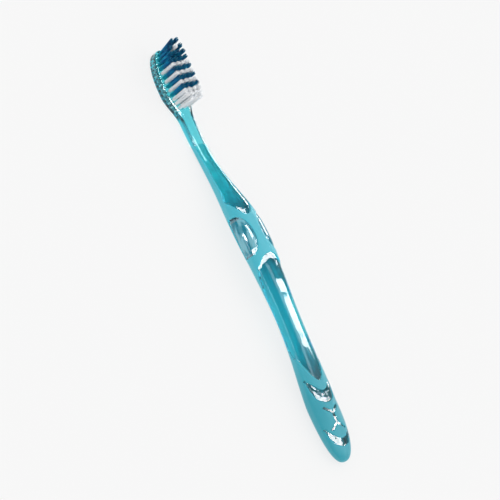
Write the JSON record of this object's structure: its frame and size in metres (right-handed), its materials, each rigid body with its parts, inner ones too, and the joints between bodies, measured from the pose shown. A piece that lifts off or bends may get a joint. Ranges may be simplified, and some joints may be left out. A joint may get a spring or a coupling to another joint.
{
  "type": "manual toothbrush",
  "caption": "Adult manual toothbrush: translucent arched handle with a soft grip at the thumb rest and the tail, oval head, blue and white bristle tufts. Rests on its back.",
  "frame": {"origin": "under the middle of the brush's box, on the plane that its back rests on", "axes": "+X from the head to the tail end of the handle, +Z the way the bristles point, +Y across"},
  "size_m": [0.19, 0.0142, 0.0172],
  "materials": {
    "handle_plastic": "clear tinted plastic, polished",
    "grip_rubber": "soft satin",
    "blue_bristle": "fine filaments",
    "white_bristle": "fine filaments",
    "anchor_metal": "plain drawn strip"
  },
  "bodies": {
    "root": {"handle_core": "handle_plastic", "soft_grip": "grip_rubber", "tuft_anchors": "anchor_metal", "blue_tuft_r1_c1": "blue_bristle", "blue_tuft_r1_c2": "blue_bristle", "blue_tuft_r2_c1": "blue_bristle", "white_tuft_r2_c2": "white_bristle", "blue_tuft_r2_c3": "blue_bristle", "blue_tuft_r3_c1": "blue_bristle", "blue_tuft_r3_c2": "blue_bristle", "blue_tuft_r3_c3": "blue_bristle", "blue_tuft_r3_c4": "blue_bristle", "blue_tuft_r4_c1": "blue_bristle", "blue_tuft_r4_c2": "blue_bristle", "blue_tuft_r4_c3": "blue_bristle", "blue_tuft_r4_c4": "blue_bristle", "white_tuft_r5_c1": "white_bristle", "white_tuft_r5_c2": "white_bristle", "white_tuft_r5_c3": "white_bristle", "white_tuft_r5_c4": "white_bristle", "blue_tuft_r6_c1": "blue_bristle", "blue_tuft_r6_c2": "blue_bristle", "blue_tuft_r6_c3": "blue_bristle", "blue_tuft_r6_c4": "blue_bristle", "white_tuft_r7_c1": "white_bristle", "white_tuft_r7_c2": "white_bristle", "white_tuft_r7_c3": "white_bristle", "white_tuft_r7_c4": "white_bristle", "blue_tuft_r8_c1": "blue_bristle", "blue_tuft_r8_c2": "blue_bristle", "blue_tuft_r8_c3": "blue_bristle", "blue_tuft_r8_c4": "blue_bristle", "white_tuft_r9_c1": "white_bristle", "white_tuft_r9_c2": "white_bristle", "white_tuft_r9_c3": "white_bristle", "white_tuft_r9_c4": "white_bristle", "blue_tuft_r10_c1": "blue_bristle", "blue_tuft_r10_c2": "blue_bristle", "blue_tuft_r10_c3": "blue_bristle", "blue_tuft_r10_c4": "blue_bristle", "white_tuft_r11_c1": "white_bristle", "white_tuft_r11_c2": "white_bristle", "white_tuft_r11_c3": "white_bristle", "white_tuft_r11_c4": "white_bristle", "white_tuft_r12_c1": "white_bristle", "white_tuft_r12_c2": "white_bristle", "white_tuft_r12_c3": "white_bristle", "white_tuft_r12_c4": "white_bristle", "white_tuft_r13_c1": "white_bristle", "white_tuft_r13_c2": "white_bristle", "white_tuft_r13_c3": "white_bristle"}
  },
  "joints": []
}
